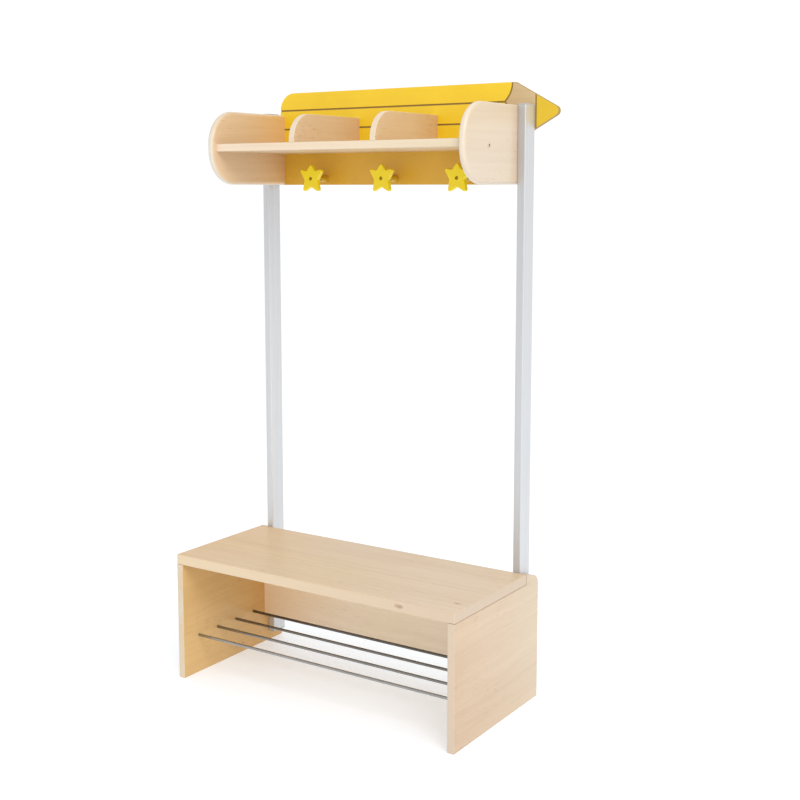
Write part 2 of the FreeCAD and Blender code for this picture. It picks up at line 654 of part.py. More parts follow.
def make_peg(side):
    """Turned peg between the hook board and a star: wide foot, waist and flange."""
    peg = new_part(f"hook_peg_{side}")
    sketch = new_sketch(peg, "X", HOOKS[side])
    heights = {name: f"({HOOK_HEIGHT} + dims.peg_{name}_radius)" for name in ("base", "waist", "flange")}
    foot = f"({BOARD_FRONT} - dims.peg_base_thickness)"
    flange = f"({STAR_BACK} + dims.peg_flange_thickness)"
    polygon((BOARD_FRONT, HOOK_HEIGHT), (BOARD_FRONT, heights["base"]), (foot, heights["base"]),
            (f"(({foot} + {flange}) / 2)", heights["waist"]), (flange, heights["flange"]),
            (STAR_BACK, heights["flange"]), (STAR_BACK, HOOK_HEIGHT))(sketch)
    ends = (point_at(STAR_BACK, HOOK_HEIGHT), point_at(BOARD_FRONT, HOOK_HEIGHT))
    axis = sketch.addGeometry(Part.LineSegment(*ends), True)
    pin(sketch, axis, 1, STAR_BACK, HOOK_HEIGHT)
    pin(sketch, axis, 2, BOARD_FRONT, HOOK_HEIGHT)
    turned = peg.newObject("PartDesign::Revolution", "turned")
    turned.Profile = sketch
    turned.ReferenceAxis = (sketch, ["Axis0"])
    turned.Angle = 360
    doc.recompute()
    bore = circles([HOOK_CENTRES[side]], SCREW_HOLE)
    cut(peg, "Y", f"({BOARD_FRONT} - {SCREW_REACH})", SCREW_REACH, bore)
    cut(peg, "Y", STAR_BACK, "(dims.star_screw_bite + dims.dowel_end_gap)", bore)


def make_pins(label, runs):
    """Group of round pins: each run is an axis, a start, a length, the centres and a radius."""
    group = new_part(label)
    for axis, start, length, centres, radius in runs:
        add(group, axis, start, length, circles(centres, radius))


def make_fasteners():
    whole = "(2 * dims.dowel_half)"
    seat_centres = [(x, y) for x in SIDES_X.values() for y in SEAT_DOWELS_Y]
    make_pins("seat_dowels", [
        ("Z", f"({SEAT_UNDER} - dims.dowel_half)", whole, seat_centres, "dims.dowel_radius")])
    for label, centres, left, right in (("apron_dowels", APRON_DOWELS, LEFT_INNER, RIGHT_INNER),
                                        ("shelf_dowels", SHELF_DOWELS, SHELF_LEFT, SHELF_RIGHT)):
        starts = (f"({left} - dims.dowel_board_depth)", f"({right} + dims.dowel_board_depth - {whole})")
        make_pins(label, [("X", start, whole, centres, "dims.dowel_radius") for start in starts])
    divider_centres = [(x, y) for x in DIVIDERS_X.values() for y in DIVIDER_DOWELS_Y]
    make_pins("divider_dowels", [
        ("Z", f"({SHELF_TOP} - dims.dowel_board_depth)", whole, divider_centres, "dims.dowel_radius")])

    bolt_reach = "(dims.post_width + dims.insert_length - dims.dowel_end_gap)"
    left_head = LEFT_END
    right_head = f"({RIGHT_END} - dims.bolt_head_height)"
    make_pins("post_bolts", [
        ("X", f"({LEFT_END} - {bolt_reach})", bolt_reach, POST_BOLTS, "dims.bolt_radius"),
        ("X", left_head, "dims.bolt_head_height", POST_BOLTS, "dims.bolt_head_radius"),
        ("X", RIGHT_END, bolt_reach, POST_BOLTS, "dims.bolt_radius"),
        ("X", right_head, "dims.bolt_head_height", POST_BOLTS, "dims.bolt_head_radius")])
    inserts = new_part("post_inserts")
    for start in (f"({LEFT_INNER} - dims.insert_length)", RIGHT_INNER):
        add(inserts, "X", start, "dims.insert_length", circles(POST_BOLTS, "dims.insert_radius"),
            circles(POST_BOLTS, "(dims.bolt_radius + dims.fit_gap)"))

    head = "dims.shelf_screw_head_height"
    shank = f"(dims.shelf_screw_length - {head})"
    head_right = f"({RIGHT_END} - {head})"
    make_pins("shelf_screws", [
        ("X", LEFT_END, head, SHELF_SCREW, "dims.shelf_screw_head_radius"),
        ("X", f"({LEFT_END} + {head})", shank, SHELF_SCREW, "dims.shelf_screw_radius"),
        ("X", head_right, head, SHELF_SCREW, "dims.shelf_screw_head_radius"),
        ("X", f"({head_right} - {shank})", shank, SHELF_SCREW, "dims.shelf_screw_radius")])
    make_pins("shelf_screw_caps", [
        ("X", start, "dims.cover_cap_height", SHELF_SCREW, "dims.cover_cap_radius")
        for start in (f"({LEFT_END} - dims.cover_cap_height)", RIGHT_END)])

    rear = (RAIL_TO_POSTS + RAIL_TO_ENDS + RAIL_TO_PEGS
            + PENCIL_TO_ENDS + PENCIL_TO_DIVIDERS + PENCIL_TO_POST)
    seat = f"({BACK} - dims.screw_head_height)"
    make_pins("board_screws", [
        ("Y", f"({BACK} - dims.screw_length)", f"(dims.screw_length - dims.screw_head_height)", rear,
         "dims.screw_radius"),
        ("Y", seat, "dims.screw_head_height", rear, "dims.screw_head_radius")])

    front = f"({STAR_FRONT} + dims.star_screw_sink)"
    neck = f"({front} + dims.screw_head_height)"
    make_pins("star_screws", [
        ("Y", front, "dims.screw_head_height", RAIL_TO_PEGS, "dims.star_screw_head_radius"),
        ("Y", neck, f"({STAR_BACK} + dims.star_screw_bite - {neck})", RAIL_TO_PEGS, "dims.screw_radius")])


make_seat()
make_side("left")
make_side("right")
make_apron()
make_rods()
make_post("left")
make_post("right")
make_end_panel("left")
make_end_panel("right")
make_shelf()
make_divider("left")
make_divider("right")
make_hook_board()
make_pencil_board()
for hook in HOOKS:
    make_star(hook)
    make_peg(hook)
make_fasteners()
doc.recompute()

for item in doc.Objects:
    if {"Invalid", "Error"} & set(item.State):
        raise RuntimeError(f"{item.Label} failed: {item.State}")
for body in parts:
    if body.Shape.isNull() or not body.Shape.isValid() or not body.Shape.Solids:
        raise RuntimeError(f"{body.Label} has no valid solid")

os.makedirs("parts", exist_ok=True)
for body in parts:
    body.Shape.exportStep(f"parts/{body.Label}.step")
    box = body.Shape.BoundBox
    print(f"{body.Label}: {len(body.Shape.Solids)} solids, {body.Shape.Volume / 1000:.1f} cm3, "
          f"{box.XLength:.1f} x {box.YLength:.1f} x {box.ZLength:.1f} mm")
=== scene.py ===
import math
import bpy
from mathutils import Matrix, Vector


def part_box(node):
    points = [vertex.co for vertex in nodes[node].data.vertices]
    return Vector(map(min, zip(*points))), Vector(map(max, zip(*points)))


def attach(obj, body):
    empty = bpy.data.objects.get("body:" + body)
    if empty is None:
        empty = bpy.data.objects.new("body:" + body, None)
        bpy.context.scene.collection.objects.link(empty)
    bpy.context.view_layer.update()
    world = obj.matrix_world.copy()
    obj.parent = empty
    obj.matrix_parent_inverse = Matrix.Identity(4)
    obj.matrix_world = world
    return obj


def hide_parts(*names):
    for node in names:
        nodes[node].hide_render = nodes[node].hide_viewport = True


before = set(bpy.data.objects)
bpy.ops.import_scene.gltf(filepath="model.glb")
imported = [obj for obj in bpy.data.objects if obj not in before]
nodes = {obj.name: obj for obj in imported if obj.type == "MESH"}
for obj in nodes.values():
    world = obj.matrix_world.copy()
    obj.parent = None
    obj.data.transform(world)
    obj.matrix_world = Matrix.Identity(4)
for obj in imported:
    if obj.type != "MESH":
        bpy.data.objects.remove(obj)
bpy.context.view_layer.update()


# Node helpers

ORIGIN = (0.0, 0.0, 0.0)
AXES = {"X": (1.0, 0.0, 0.0), "Y": (0.0, 1.0, 0.0), "Z": (0.0, 0.0, 1.0)}


def feed(tree, socket, source):
    """Link a socket to a source socket, or set it to a value."""
    if isinstance(source, bpy.types.NodeSocket):
        tree.links.new(source, socket)
    else:
        socket.default_value = source


def add(tree, kind, inputs=None, **settings):
    """New node with its settings, and its inputs linked or set."""
    made = tree.nodes.new(kind)
    for key, setting in settings.items():
        setattr(made, key, setting)
    for key, source in (inputs or {}).items():
        feed(tree, made.inputs[key], source)
    return made


def maths(tree, operation, first, second=0.0):
    return add(tree, "ShaderNodeMath", {0: first, 1: second}, operation=operation).outputs[0]


def summed(tree, first, first_share, second, second_share):
    """Two values, each multiplied by its share and then added."""
    return maths(tree, "ADD", maths(tree, "MULTIPLY", first, first_share),
                 maths(tree, "MULTIPLY", second, second_share))


def vectors(tree, operation, first, second=ORIGIN, result="Vector"):
    made = add(tree, "ShaderNodeVectorMath", {0: first, 1: second}, operation=operation)
    return made.outputs[result]


def times(tree, vector, factors):
    """A vector or colour with each of its parts multiplied by its own factor."""
    return vectors(tree, "MULTIPLY", vector, factors)


def noise(tree, vector, scale, detail=2.0, roughness=0.5):
    return add(tree, "ShaderNodeTexNoise", {
        "Vector": vector, "Scale": scale, "Detail": detail,
        "Roughness": roughness}).outputs["Fac"]


def streaks(tree, vector, fineness, detail=2.0, scale=1.0, roughness=0.5):
    """Noise with a fineness of its own along X, Y and Z."""
    return noise(tree, times(tree, vector, fineness), scale, detail, roughness)


def ranged(tree, value, low, high, to_low=0.0, to_high=1.0):
    """The value's range from low to high, spread to a new range and held inside it."""
    return add(tree, "ShaderNodeMapRange", {
        "Value": value, "From Min": low, "From Max": high,
        "To Min": to_low, "To Max": to_high}).outputs["Result"]


def blend(tree, factor, first, second):
    """Colour that goes from first to second with the factor."""
    made = add(tree, "ShaderNodeMix", data_type="RGBA")
    sockets = [socket for socket in made.inputs if socket.enabled]
    for socket, source in zip(sockets, (factor, first, second)):
        feed(tree, socket, source)
    return next(socket for socket in made.outputs if socket.enabled)


def looks_along(tree, axis):
    """How squarely a face looks along an axis: 1 along it, 0 across it, -1 against it."""
    normal = add(tree, "ShaderNodeNewGeometry").outputs["Normal"]
    return vectors(tree, "DOT_PRODUCT", normal, AXES[axis], "Value")


def parts(tree, vector):
    """The X, Y and Z of a vector."""
    return add(tree, "ShaderNodeSeparateXYZ", {0: vector}).outputs


def new_group(name, inputs, outputs):
    """Node group whose inputs start at given vectors or values, and whose outputs are values."""
    tree = bpy.data.node_groups.new(name, "ShaderNodeTree")
    for label, start in inputs.items():
        kind = "NodeSocketFloat" if isinstance(start, float) else "NodeSocketVector"
        socket = tree.interface.new_socket(name=label, in_out="INPUT", socket_type=kind)
        socket.default_value = start
    for label in outputs:
        tree.interface.new_socket(name=label, in_out="OUTPUT", socket_type="NodeSocketFloat")
    entry = tree.nodes.new("NodeGroupInput")
    leave = tree.nodes.new("NodeGroupOutput")
    return tree, entry.outputs, leave.inputs


def use(tree, group, inputs):
    return add(tree, "ShaderNodeGroup", inputs, node_tree=group).outputs


# Shared figures: a fineness is per metre along X, Y and Z; a range is the part of a noise used

WANDER_FINENESS, SWAY_Y, SWAY_Z = (1.6, 5.0, 5.0), 0.06, 0.05
BROAD_FINENESS, BROAD_SHARE, BROAD_DETAIL = (1.5, 14.0, 14.0), 0.5, 3.0
LINE_FINENESS, LINE_SHARE, LINE_DETAIL, LINE_ROUGHNESS = (1.3, 85.0, 85.0), 0.5, 4.0, 0.6
TONE_RANGE = (0.33, 0.67)
DASH_FINENESS, DASH_RANGE, DASH_DETAIL = (38.0, 520.0, 520.0), (0.62, 0.72), 1.0
PATCH_FINENESS, PATCH_RANGE = (4.0, 16.0, 16.0), (0.42, 0.62)
DRIFT_FINENESS, DRIFT_RANGE, DRIFT_DETAIL = (1.5, 2.6, 2.6), (0.38, 0.62), 1.0
PORE_FINENESS, PORE_RISE, FLECK_DIP = (22.0, 1300.0, 1300.0), 0.5, 0.35
KNOT_STRETCH, KNOT_START = (0.38, 1.0, 1.0), 0.01
KNOT_RAGS, KNOT_RAG_SHARE, KNOT_RANGE = 160.0, 0.9, (0.65, 1.15)
SMUDGE_SCALE, SMUDGE_DETAIL, SMUDGE_ROUGHNESS, SMUDGE_RANGE = 14.0, 4.0, 0.6, (0.3, 0.7)
PEEL_START = 900.0
FINE_LINES, FINE_SHARE = (1600.0, 1600.0, 3.0), 0.6
WIDE_LINES, WIDE_SHARE = (260.0, 260.0, 1.2), 0.4


def wood_figure_group():
    """Figure of a pale hardwood whose grain runs along X.

    It gives the broad tone with growth lines, the flecks, a slow drift and the pores' height."""
    tree, given, out = new_group("wood figure", {"Vector": ORIGIN, "Lines": 1.0},
                                 ("Tone", "Fleck", "Drift", "Height"))
    grain = given["Vector"]
    wander = streaks(tree, grain, WANDER_FINENESS)
    sway = add(tree, "ShaderNodeCombineXYZ", {
        "Y": maths(tree, "MULTIPLY", wander, SWAY_Y),
        "Z": maths(tree, "MULTIPLY", wander, SWAY_Z)}).outputs[0]
    bent = vectors(tree, "ADD", grain, sway)
    broad = streaks(tree, bent, BROAD_FINENESS, BROAD_DETAIL)
    lines = streaks(tree, bent, LINE_FINENESS, LINE_DETAIL, given["Lines"], LINE_ROUGHNESS)
    tone = summed(tree, broad, BROAD_SHARE, lines, LINE_SHARE)
    dashes = ranged(tree, streaks(tree, bent, DASH_FINENESS, DASH_DETAIL), *DASH_RANGE)
    patches = ranged(tree, streaks(tree, grain, PATCH_FINENESS), *PATCH_RANGE)
    fleck = maths(tree, "MULTIPLY", dashes, patches)
    drift = streaks(tree, grain, DRIFT_FINENESS, DRIFT_DETAIL)
    pores = streaks(tree, bent, PORE_FINENESS)
    feed(tree, out["Tone"], ranged(tree, tone, *TONE_RANGE))
    feed(tree, out["Fleck"], fleck)
    feed(tree, out["Drift"], ranged(tree, drift, *DRIFT_RANGE))
    feed(tree, out["Height"], summed(tree, pores, PORE_RISE, fleck, -FLECK_DIP))
    return tree


def pin_knot_group():
    """Small oval knot at a centre, drawn out along X: a dark heart in a fading ring."""
    tree, given, out = new_group(
        "pin knot", {"Vector": ORIGIN, "Centre": ORIGIN, "Reach": KNOT_START}, ("Knot",))
    apart = times(tree, vectors(tree, "SUBTRACT", given["Vector"], given["Centre"]), KNOT_STRETCH)
    share = maths(tree, "DIVIDE", vectors(tree, "LENGTH", apart, result="Value"), given["Reach"])
    rags = maths(tree, "MULTIPLY", noise(tree, given["Vector"], KNOT_RAGS), KNOT_RAG_SHARE)
    feed(tree, out["Knot"], ranged(tree, maths(tree, "ADD", share, rags), *KNOT_RANGE, 1.0, 0.0))
    return tree


def fine_mottle_group():
    """Slow smudges and a fine peel, for painted, moulded and metal faces."""
    tree, given, out = new_group("fine mottle", {"Vector": ORIGIN, "Peel Scale": PEEL_START},
                                 ("Smudge", "Peel"))
    smudge = noise(tree, given["Vector"], SMUDGE_SCALE, SMUDGE_DETAIL, SMUDGE_ROUGHNESS)
    feed(tree, out["Smudge"], ranged(tree, smudge, *SMUDGE_RANGE))
    feed(tree, out["Peel"], noise(tree, given["Vector"], given["Peel Scale"]))
    return tree


def drawn_lines_group():
    """Fine lines left along Z by drawing or brushing metal."""
    tree, given, out = new_group("drawn lines", {"Vector": ORIGIN}, ("Line",))
    fine = streaks(tree, given["Vector"], FINE_LINES)
    wide = streaks(tree, given["Vector"], WIDE_LINES)
    feed(tree, out["Line"], summed(tree, fine, FINE_SHARE, wide, WIDE_SHARE))
    return tree


WOOD_FIGURE = wood_figure_group()
PIN_KNOT = pin_knot_group()
FINE_MOTTLE = fine_mottle_group()
DRAWN_LINES = drawn_lines_group()


def new_material(name, constants):
    """Material whose shader has some sockets set; also its tree, sockets and coordinates."""
    material = bpy.data.materials.new(name)
    material.use_nodes = True
    tree = material.node_tree
    shader = next(item for item in tree.nodes if item.type == "BSDF_PRINCIPLED")
    for key, setting in constants.items():
        shader.inputs[key].default_value = setting
    place = add(tree, "ShaderNodeTexCoord").outputs["Object"]
    return material, tree, shader.inputs, place


def surface(tree, shader, colour, roughness, height, relief):
    """Colour, roughness and bump of a shader; relief is a strength and a depth in metres."""
    strength, depth = relief
    bump = add(tree, "ShaderNodeBump", {"Height": height, "Strength": strength, "Distance": depth})
    feed(tree, shader["Base Color"], colour)
    feed(tree, shader["Roughness"], roughness)
    feed(tree, shader["Normal"], bump.outputs["Normal"])


# Maple: each veneer has a dark and a light tone, a fleck and the tint it drifts to

HONEY, NO_HONEY = (0.985, 0.955, 0.82), (1.0, 1.0, 1.0)
MAPLE_FLECK = (0.40, 0.24, 0.11, 1)
PALE_FLECK = (0.70, 0.55, 0.40, 1)
SOFT_FLECK = (0.55, 0.41, 0.28, 1)
PALE_MAPLE = ((0.63, 0.47, 0.315, 1), (0.71, 0.55, 0.39, 1), MAPLE_FLECK, HONEY)
CLEAR_MAPLE = ((0.635, 0.51, 0.385, 1), (0.705, 0.585, 0.46, 1), SOFT_FLECK, HONEY)
EVEN_MAPLE = ((0.618, 0.474, 0.323, 1), (0.696, 0.557, 0.398, 1), MAPLE_FLECK, NO_HONEY)
CREAM_MAPLE = ((0.85, 0.715, 0.58, 1), (0.92, 0.795, 0.66, 1), PALE_FLECK, HONEY)
WARM_MAPLE = ((0.66, 0.46, 0.26, 1), (0.74, 0.54, 0.33, 1), MAPLE_FLECK, HONEY)
MILD_MAPLE = ((0.65, 0.47, 0.325, 1), (0.73, 0.55, 0.41, 1), MAPLE_FLECK, HONEY)
# Deeper tones for the inner faces of the left end panel and the left bench side: painted warm shade
MELLOW_MAPLE_SHADE = ((0.658, 0.463, 0.28, 1), (0.738, 0.543, 0.355, 1), MAPLE_FLECK, HONEY)
DEEP_MAPLE_SHADE = ((0.665, 0.43, 0.19, 1), (0.745, 0.51, 0.25, 1), MAPLE_FLECK, HONEY)
KNOT_BROWN = (0.26, 0.13, 0.055, 1)

# Tints laid along part of a board: the peach tint is painted shade; the amber tint is painted warm
# shade on the left panels' inner faces, and only a warmer tone on the seat's and apron's left ends
AMBER = (1.05, 0.93, 0.74)
PEACH_SHADE = (0.92, 0.83, 0.76)

# Lippings: colour at the rack's left and right, and the run along X between them, in metres. The
# seat's and shelf's lippings are lighter at the left, and the left bench side's lipping is lighter
# than the right's: painted light falling from the front left.
SEAT_EDGE = ((0.745, 0.59, 0.385, 1), (0.593, 0.465, 0.345, 1))
SHELF_EDGE = ((0.93, 0.76, 0.585, 1), (0.71, 0.595, 0.41, 1))
LEFT_EDGE = 2 * ((0.645, 0.57, 0.445, 1),)
RIGHT_EDGE = 2 * ((0.58, 0.465, 0.365, 1),)
APRON_EDGE = 2 * ((0.62, 0.505, 0.38, 1),)
RACK_EDGE = 2 * ((0.77, 0.66, 0.52, 1),)
PALE_EDGE = 2 * ((0.735, 0.70, 0.61, 1),)
EDGE_LIGHT_RUN = (-0.40, 0.36)

FLECK_SHARE, LIPPING_SHARE, KNOT_SHARE = 0.5, 0.6, 0.6
FACE_RANGE, SIDE_RANGE = (0.55, 0.8), (-0.1, 0.1)
LACQUER = {"Coat Roughness": 0.16, "IOR": 1.48}
LACQUER_ROUGHNESS, LACQUER_COAT, COAT_RANGE = (0.40, 0.32), (0.10, 0.22), (0.0, 0.5)
GRAIN_RELIEF = (0.25, 0.0002)
TURN_TO_GRAIN = {"X": (0.0, 0.0, 0.0), "Y": (0.0, 0.0, -math.pi / 2)}


def veneer(tree, figure, tones):
    """Colour of a sheet of veneer: its two tones, its flecks and a slow drift to its tint."""
    dark, light, fleck, tint = tones
    face = blend(tree, figure["Tone"], dark, light)
    face = blend(tree, maths(tree, "MULTIPLY", figure["Fleck"], FLECK_SHARE), face, fleck)
    return blend(tree, figure["Drift"], face, times(tree, face, tint))


def maple(name, grain, thickness, shift, tones, edge, far_tones=None, knots=(), tint_run=None):
    """Clear-lacquered pale wood board: veneer on its faces, and a lipping on its edges whose colour
    may run along X, lighter at the left, as painted light.

    grain and thickness are axes, and shift is where in the figure the board is cut. far_tones is
    the veneer of the face that looks against the thickness axis, where it differs; the other face's
    deeper tones are then painted warm shade. The veneer may take a tint along an axis, from a start
    to an end in metres: the peach tint is painted shade, and the amber tint is painted warm shade
    on the left panels' inner faces and only a warmer tone on the seat's and apron's left ends."""
    material, tree, shader, place = new_material(name, LACQUER)
    turned = add(tree, "ShaderNodeMapping", {
        "Vector": place, "Location": shift, "Rotation": TURN_TO_GRAIN[grain]}).outputs[0]
    figure = use(tree, WOOD_FIGURE, {"Vector": turned})
    split = parts(tree, place)
    square = looks_along(tree, thickness)
    face = veneer(tree, figure, tones)
    # a tint along an axis: painted shade or painted warm shade, or only a warmer tone, as each
    # board's entry says
    if tint_run:
        axis, start, end, tint = tint_run
        tinted = times(tree, face, tint)
        face = blend(tree, ranged(tree, split[axis], start, end), face, tinted)
    # where far_tones is given, the face that looks along the thickness axis keeps the deeper tones
    # as painted warm shade
    if far_tones:
        far_face = veneer(tree, figure, far_tones)
        face = blend(tree, ranged(tree, square, *SIDE_RANGE), far_face, face)
    # painted light: the lipping runs from its left colour to its right colour along X
    painted_light_lipping = blend(tree, ranged(tree, split["X"], *EDGE_LIGHT_RUN), *edge)
    lipping = blend(tree, maths(tree, "MULTIPLY", figure["Tone"], LIPPING_SHARE), painted_light_lipping, tones[0])
    on_face = ranged(tree, maths(tree, "ABSOLUTE", square), *FACE_RANGE)
    colour = blend(tree, on_face, lipping, face)
    for centre, reach in knots:
        knot = use(tree, PIN_KNOT, {"Vector": place, "Centre": centre, "Reach": reach})["Knot"]
        colour = blend(tree, maths(tree, "MULTIPLY", knot, KNOT_SHARE), colour, KNOT_BROWN)
    roughness = ranged(tree, figure["Tone"], 0.0, 1.0, *LACQUER_ROUGHNESS)
    feed(tree, shader["Coat Weight"], ranged(tree, figure["Height"], *COAT_RANGE, *LACQUER_COAT))
    surface(tree, shader, colour, roughness, figure["Height"], GRAIN_RELIEF)
    return material


# Yellow boards and hooks: the pencil's sizes, in metres, are where its lines divide the colours

PENCIL_LOW, PENCIL_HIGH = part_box("pencil_board")
PENCIL_AXIS = (PENCIL_LOW.z + PENCIL_HIGH.z) / 2
FACET = 0.047
PAINT_SETBACK = 0.116
SCALLOP = 0.020
MIDDLE_SCALLOP = 0.012
LEAD = 0.056
LAMINATE = 0.0004
CORE_START = LAMINATE * 1.5

PENCIL_YELLOW = ((0.89, 0.60, 0.016, 1), (0.92, 0.635, 0.020, 1))
# The hook board's yellow, deeper than the pencil's, is the same yellow in painted shade under the
# shelf
OCHRE_SHADE_YELLOW = ((0.68, 0.377, 0.034, 1), (0.727, 0.413, 0.04, 1))
LEAD_YELLOW, LEAD_SHARE = (0.62, 0.40, 0.020, 1), 0.7
CONE_WOOD, CONE_LINES = ((0.54, 0.38, 0.185, 1), (0.64, 0.47, 0.25, 1)), 1.3
CORE_FIBRE = ((0.34, 0.205, 0.055, 1), (0.44, 0.285, 0.085, 1))
FIBRE_SCALE, FIBRE_DETAIL = 650.0, 3.0
PAINT, PAINT_PEEL, PAINT_RELIEF = {"IOR": 1.48}, 700.0, (0.08, 0.0002)
PAINT_ROUGHNESS, CORE_ROUGHER = (0.34, 0.42), 0.35

STAR_YELLOW = ((0.86, 0.65, 0.0, 1), (0.91, 0.71, 0.004, 1))
# The pegs' ochre, deeper than the stars' yellow, is painted shade behind the stars
PEG_SHADE_OCHRE = ((0.56, 0.33, 0.012, 1), (0.62, 0.37, 0.018, 1))
HOOK_PLASTIC, HOOK_PEEL, HOOK_RELIEF = {"IOR": 1.5}, 1500.0, (0.06, 0.0001)
HOOK_ROUGHNESS = (0.28, 0.38)


def circle_mask(tree, across, up, centre_across, centre_up, radius):
    """1 inside a circle in a plane, 0 outside it."""
    aside = maths(tree, "SUBTRACT", across, centre_across)
    above = maths(tree, "SUBTRACT", up, centre_up)
    square = maths(tree, "ADD", maths(tree, "MULTIPLY", aside, aside),
                   maths(tree, "MULTIPLY", above, above))
    return maths(tree, "LESS_THAN", maths(tree, "SQRT", square), radius)


def lead_mask(tree, x):
    """1 on the pencil's lead, 0 elsewhere."""
    return maths(tree, "GREATER_THAN", x, PENCIL_HIGH.x - LEAD)


def paint_mask(tree, x, z):
    """1 on the pencil's painted body and lead, 0 on its bare cone."""
    paint_edge = PENCIL_HIGH.x - PAINT_SETBACK
    cusp = paint_edge - SCALLOP
    facet_half, height_half = FACET / 2, (PENCIL_HIGH.z - PENCIL_LOW.z) / 2
    outer_half = height_half - facet_half
    middle_radius = (facet_half ** 2 + MIDDLE_SCALLOP ** 2) / (2 * MIDDLE_SCALLOP)
    outer_radius = (outer_half ** 2 + SCALLOP ** 2) / (2 * SCALLOP)
    rise = maths(tree, "ABSOLUTE", maths(tree, "SUBTRACT", z, PENCIL_AXIS))
    in_middle = maths(tree, "LESS_THAN", rise, facet_half)
    in_outer = maths(tree, "SUBTRACT", 1.0, in_middle)
    middle_bow = circle_mask(tree, x, rise, cusp + MIDDLE_SCALLOP - middle_radius, 0.0,
                             middle_radius)
    outer_bow = circle_mask(tree, x, rise, paint_edge - outer_radius, height_half, outer_radius)
    scallops = maths(tree, "MAXIMUM", maths(tree, "MULTIPLY", in_middle, middle_bow),
                     maths(tree, "MULTIPLY", in_outer, outer_bow))
    body = maths(tree, "LESS_THAN", x, cusp)
    return maths(tree, "MAXIMUM", maths(tree, "MAXIMUM", body, lead_mask(tree, x)), scallops)


def yellow_board(name, tones, pencil):
    """Board with yellow faces over a brown fibre core that shows in grooves and on edges."""
    material, tree, shader, place = new_material(name, PAINT)
    mottle = use(tree, FINE_MOTTLE, {"Vector": place, "Peel Scale": PAINT_PEEL})
    split = parts(tree, place)
    face = blend(tree, mottle["Smudge"], *tones)
    if pencil:
        figure = use(tree, WOOD_FIGURE, {"Vector": place, "Lines": CONE_LINES})
        bare = blend(tree, figure["Tone"], *CONE_WOOD)
        lead = maths(tree, "MULTIPLY", lead_mask(tree, split["X"]), LEAD_SHARE)
        face = blend(tree, lead, face, LEAD_YELLOW)
        face = blend(tree, paint_mask(tree, split["X"], split["Z"]), bare, face)
    core = blend(tree, noise(tree, place, FIBRE_SCALE, FIBRE_DETAIL), *CORE_FIBRE)
    from_front = maths(tree, "SUBTRACT", split["Y"], PENCIL_LOW.y)
    from_back = maths(tree, "SUBTRACT", PENCIL_HIGH.y, split["Y"])
    inside = maths(tree, "MINIMUM", from_front, from_back)
    shown_core = ranged(tree, inside, LAMINATE, CORE_START)
    roughness = maths(tree, "ADD", maths(tree, "MULTIPLY", shown_core, CORE_ROUGHER),
                      ranged(tree, mottle["Smudge"], 0.0, 1.0, *PAINT_ROUGHNESS))
    surface(tree, shader, blend(tree, shown_core, face, core), roughness, mottle["Peel"],
            PAINT_RELIEF)
    return material


def moulded_yellow(name, tones):
    """Moulded hook plastic with a soft gloss."""
    material, tree, shader, place = new_material(name, HOOK_PLASTIC)
    mottle = use(tree, FINE_MOTTLE, {"Vector": place, "Peel Scale": HOOK_PEEL})
    roughness = ranged(tree, mottle["Smudge"], 0.0, 1.0, *HOOK_ROUGHNESS)
    surface(tree, shader, blend(tree, mottle["Smudge"], *tones), roughness, mottle["Peel"],
            HOOK_RELIEF)
    return material


# Metal, plastic and dowels

ANODISED, POST_SILVER = {"Metallic": 0.6}, ((0.58, 0.58, 0.585, 1), (0.69, 0.69, 0.695, 1))
POST_LINE_RANGE, POST_FACE_RANGE = (0.3, 0.7), (0.2, 0.8)
# Shares of silver: the right post's front is darkened as painted shade, and every side is lightened
# as painted light
POST_FRONT_SHADES, POST_SIDE_LIGHT = {"left": 1.0, "right": 0.89}, 1.06
POST_ROUGHNESS, POST_RELIEF = (0.38, 0.48), (0.10, 0.0001)

# Rods from the front to the back, each darker than the one before: painted light on the front rods
# and painted shade of the seat on the rear rods
ROD_SHADE_GREYS = (((0.32, 0.315, 0.31, 1), (0.40, 0.395, 0.39, 1)),
             ((0.25, 0.245, 0.24, 1), (0.32, 0.315, 0.31, 1)),
             ((0.185, 0.18, 0.175, 1), (0.245, 0.24, 0.235, 1)),
             ((0.13, 0.125, 0.12, 1), (0.17, 0.165, 0.16, 1)))
ROD_ROUGHNESS, ROD_METALLIC = 0.22, 1.0
FIXING_GREY = ((0.42, 0.42, 0.43, 1), (0.52, 0.52, 0.53, 1))
FIXING_ROUGHNESS, FIXING_METALLIC = 0.28, 0.9
PASSIVATED_YELLOW = ((0.36, 0.23, 0.012, 1), (0.44, 0.29, 0.02, 1))
PASSIVATED_ROUGHNESS, PASSIVATED_METALLIC = 0.34, 0.55
STEEL_PEEL, STEEL_RELIEF, SMUDGE_ROUGHER = 1200.0, (0.05, 0.0001), 0.12

CAP_GREY = ((0.38, 0.38, 0.39, 1), (0.44, 0.44, 0.45, 1))
CAP_CREAM = ((0.61, 0.48, 0.36, 1), (0.67, 0.54, 0.42, 1))
# Dark brown in the cap's sunk eye: painted shade
CAP_EYE_SHADE_BROWN = (0.27, 0.21, 0.15, 1)
PLASTIC, PLASTIC_PEEL, PLASTIC_RELIEF = {"IOR": 1.46}, 2400.0, (0.15, 0.0001)
PEEL_RANGE, PLASTIC_ROUGHNESS = (0.3, 0.7), (0.45, 0.6)

BEECH, BEECH_LINES = ((0.50, 0.31, 0.16, 1), (0.62, 0.42, 0.24, 1)), 1.6
BEECH_ROUGHNESS, BEECH_RELIEF = (0.66, 0.54), (0.3, 0.0002)


